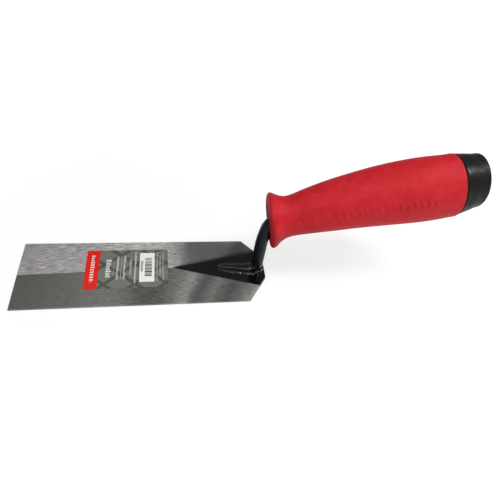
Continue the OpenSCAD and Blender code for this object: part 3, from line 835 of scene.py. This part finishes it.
# place along the grip, then the top and the bottom of the ring there, in mm
SLEEVE = [
    (0.0, 8.8, -20.1), (0.35, 10.8, -21.2), (0.9, 12.2, -21.9), (1.7, 13.1, -22.2), (2.7, 13.3, -21.9),
    (4.0, 12.8, -20.8), (5.6, 11.9, -19.1), (7.5, 10.95, -17.8), (9.7, 10.1, -16.8), (12.5, 9.75, -16.3),
    (16, 10.35, -16.1), (21, 11.8, -16.1), (27, 13.35, -16.25), (34, 14.95, -16.5), (43, 16.6, -16.85),
    (52, 17.9, -17.2), (64, 19.3, -18.1), (76, 20.0, -19.2), (87, 20.1, -20.2), (96, 19.7, -20.65),
    (102.5, 19.2, -20.65), (106.5, 19.0, -20.6), (108.9, 19.05, -20.6), (109.6, 18.95, -20.5),
    (109.95, 18.5, -20.1), (110.0, 17.6, -19.15),
]
# place and radius of the sleeve's inside, from its rear end forward
BORE = [(109.6, 13.7), (100, 13.7), (64, 13.3), (46, 11.9), (34, 11.0), (22, 8.8), (5.4, 8.8)]
CAP_S = 110.6                                 # the cap's front end, and its rings counted from there
CAP_KEYS = [
    (0.0, 17.7, -19.0), (0.08, 18.3, -19.5), (0.45, 18.6, -19.8), (3, 18.25, -19.2), (6, 17.85, -18.5),
    (9, 17.25, -17.6), (11.5, 16.85, -17.0), (12.9, 16.8, -16.9), (13.75, 16.75, -16.35),
    (14.35, 16.5, -15.7), (14.8, 15.85, -14.9), (15.1, 14.4, -13.8), (15.45, 12.3, -12.1),
    (16.05, 9.4, -9.7), (16.85, 6.2, -7.0), (17.6, 3.6, -4.5), (18.2, 1.6, -2.6),
]


def rim_shift(s, n, y):
    """Lean of the rings near the front rim, fading out along the grip (all in mm)."""
    lean = (n - RIM_N) * math.tan(RIM_LEAN) + RIM_SKEW * y + RIM_FORE
    return lean * max(0.0, 1 - s / 12)


def grip_point(s, n, y):
    """The point s along the grip, n above its origin and y across, all in mm."""
    s, n, y = s * MM, n * MM, y * MM
    return GRIP_O + GRIP_T * s + GRIP_N * n + Vector((0, 1, 0)) * y


def grip_ring(row):
    """Oval ring across the grip."""
    s, top, bot = row
    c, h = (top + bot) / 2, (top - bot) / 2
    ring = []
    for j in range(GRIP_SEG):
        a = 2 * math.pi * j / GRIP_SEG
        n = c + h * math.cos(a)
        y = W_RATIO * h * math.sin(a)
        ring.append(grip_point(s + RIM_S + rim_shift(s, n, y), n, y))
    return ring


MARKS, MARK_S, MARK_PITCH = 15, 38.5, 3.9      # plain raised bars along the near side, in mm
MARK_TALL, MARK_WIDE, MARK_RISE, MARK_SUNK = 2.6, 0.9, 0.36, 0.15
MARK_TURN = (285.0, 283.8)                    # degrees round the grip at the first and the last bar


def raised_bar(outer, s0, turn):
    """Rings of one slanted bar that stands on the sleeve, with its foot sunk under the surface."""
    tops, bottoms = ([(row[0], row[k]) for row in outer] for k in (1, 2))
    rows = []
    for i in range(17):
        v = lerp(-1, 1, i / 16)
        half = MARK_WIDE * math.sqrt(max(0.02, 1 - abs(v) ** 9))
        line = [(lerp(-half, half, j / 8), 1 - abs(lerp(-1, 1, j / 8)) ** 6) for j in range(9)]
        line += [(half, -1.0), (-half, -1.0)]
        ring = []
        for u, rise in line:
            s = s0 + u + 0.35 * MARK_TALL * v
            top, bottom = piecewise(tops, s), piecewise(bottoms, s)
            c, h = (top + bottom) / 2, (top - bottom) / 2
            a = turn - v * MARK_TALL / h
            out = Vector((math.cos(a), math.sin(a) / W_RATIO)).normalized()
            lift = (MARK_RISE + MARK_SUNK) * rise * (1 - abs(v) ** 9) - MARK_SUNK
            n, y = c + h * math.cos(a) + out.x * lift, W_RATIO * h * math.sin(a) + out.y * lift
            ring.append(grip_point(s + RIM_S, n, y))
        rows.append(ring)
    return rows


def build_sleeve():
    """Hollow sleeve: the lip round the core's face, the outside, then the inside from the rear."""
    keys = catmull(SLEEVE, 0.9)
    angles = [2 * math.pi * j / GRIP_SEG for j in range(GRIP_SEG)]
    middle, high, wide = -5.9, 12.4, 10.6
    rows = []
    for s, grow in ((4.0, 0.0), (0.45, 0.0), (0.22, 0.1), (0.08, 0.3), (0.0, 0.62)):
        ring = []
        for a in angles:
            n = middle + (high + grow) * math.cos(a)
            y = (wide + grow) * math.sin(a)
            ring.append(grip_point(s + RIM_S + rim_shift(0, n, y), n, y))
        rows.append(ring)
    rows += [grip_ring(k) for k in keys]
    axis = (Vector(shank_path()[-1]) - GRIP_O).dot(GRIP_N) / MM
    for s, r in BORE:
        rows.append([grip_point(s + RIM_S, axis + r * math.cos(a), r * math.sin(a)) for a in angles])
    verts, faces = skin(rows, closed=False)
    last = (len(rows) - 1) * GRIP_SEG
    for j in range(GRIP_SEG):
        k = (j + 1) % GRIP_SEG
        faces.append((last + j, last + k, k, j))
    for i in range(MARKS):
        turn = math.radians(lerp(*MARK_TURN, i / (MARKS - 1)))
        bar = raised_bar(keys, MARK_S + MARK_PITCH * i, turn)
        verts, faces = add_shell(verts, faces, *skin(bar))
    return make_object("soft_grip", verts, faces, GRIP, ["grip_sleeve"], 60)


def build_cap():
    """Closed cap that tapers to a rounded rear end."""
    keys = [(s + CAP_S - RIM_S, top, bottom) for s, top, bottom in catmull(CAP_KEYS, 0.45)]
    rows = [grip_ring((CAP_S - RIM_S, 12.0, -13.5))] + [grip_ring(k) for k in keys]
    s, top, bottom = keys[-1]
    c, h = (top + bottom) / 2, (top - bottom) / 2
    for share, further in ((0.6, 0.06), (0.25, 0.09)):
        rows.append(grip_ring((s + further, c + h * share, c - h * share)))
    verts, faces = skin(rows)
    return make_object("butt_cap", verts, faces, CAP, ["end_cap"], 60)


build_blade()
build_lacquer()
build_label()
build_shank()
build_welds()
build_sleeve()
build_cap()

core = nodes["handle_core"]
core.data.materials.clear()
core.data.materials.append(CORE)

# ---------------------------------------------------------------- floor, light, camera
FLOOR_HALF, FLOOR_Z = 3.0, -0.0001
corners = [(a * FLOOR_HALF, b * FLOOR_HALF, FLOOR_Z) for a, b in ((-1, -1), (1, -1), (1, 1), (-1, 1))]
floor_mesh = bpy.data.meshes.new("floor")
floor_mesh.from_pydata(corners, [], [(0, 1, 2, 3)])
floor_mesh.materials.append(floor_material())
floor = bpy.data.objects.new("floor", floor_mesh)
bpy.context.scene.collection.objects.link(floor)

AIM = Vector((0.06, 0, 0.03))
LAMP_FAR = 1.2


def softbox(name, azimuth, height, size, power):
    """Rectangular lamp on a sphere round AIM, turned towards it; angles in degrees."""
    light = bpy.data.lights.new(name, "AREA")
    light.shape = "RECTANGLE"
    light.size, light.size_y = size
    light.energy = power
    a, h = math.radians(azimuth), math.radians(height)
    way = Vector((math.cos(a) * math.cos(h), math.sin(a) * math.cos(h), math.sin(h)))
    ob = bpy.data.objects.new(name, light)
    ob.location = AIM + way * LAMP_FAR
    ob.rotation_euler = (AIM - ob.location).to_track_quat("-Z", "Y").to_euler()
    bpy.context.scene.collection.objects.link(ob)


softbox("key", -18, 56, (0.20, 0.50), 11.0)
softbox("fill", -110, 38, (0.9, 0.7), 5.0)
softbox("side", 165, 58, (0.8, 0.8), 3.0)

# a dim even light all round, which the camera sees as a white backdrop
world = bpy.data.worlds.new("studio")
world.use_nodes = True
bg = world.node_tree.nodes["Background"]
bg.inputs["Color"].default_value = (1, 1, 1, 1)
bg.inputs["Strength"].default_value = 0.20
pale = world.node_tree.nodes.new("ShaderNodeBackground")
pale.inputs["Strength"].default_value = 1.2
seen = world.node_tree.nodes.new("ShaderNodeLightPath")
either = world.node_tree.nodes.new("ShaderNodeMixShader")
world.node_tree.links.new(seen.outputs["Is Camera Ray"], either.inputs[0])
world.node_tree.links.new(bg.outputs[0], either.inputs[1])
world.node_tree.links.new(pale.outputs[0], either.inputs[2])
world.node_tree.links.new(either.outputs[0], world.node_tree.nodes["World Output"].inputs[0])
bpy.context.scene.world = world


def camera():
    """The photograph's camera: turn, height and roll in degrees, distance and shifts in mm."""
    az, el, roll = (math.radians(v) for v in (-16.38, 47.6, 11.35))
    dist, shift_x, shift_y = 265.9, 15.61, 0.42
    back = Vector((math.sin(az) * math.cos(el), -math.cos(az) * math.cos(el), math.sin(el)))
    level = Vector((math.cos(az), math.sin(az), 0))
    upright = back.cross(level)
    right = level * math.cos(roll) + upright * math.sin(roll)
    up = -level * math.sin(roll) + upright * math.cos(roll)
    aim = Vector((125.0, 0, 20.0))
    where = (aim + back * dist + right * shift_x + up * shift_y) * MM + Vector((X0, 0, 0))
    cam = bpy.data.cameras.new("camera")
    cam.sensor_fit = "HORIZONTAL"
    cam.sensor_width = 36.0
    cam.lens = 30.52
    cam.clip_start = 0.01
    ob = bpy.data.objects.new("camera", cam)
    ob.matrix_world = Matrix.Translation(where) @ Matrix((right, up, back)).transposed().to_4x4()
    bpy.context.scene.collection.objects.link(ob)
    bpy.context.scene.camera = ob


camera()
bpy.context.scene.view_settings.view_transform = "Standard"
bpy.context.scene.view_settings.look = "None"
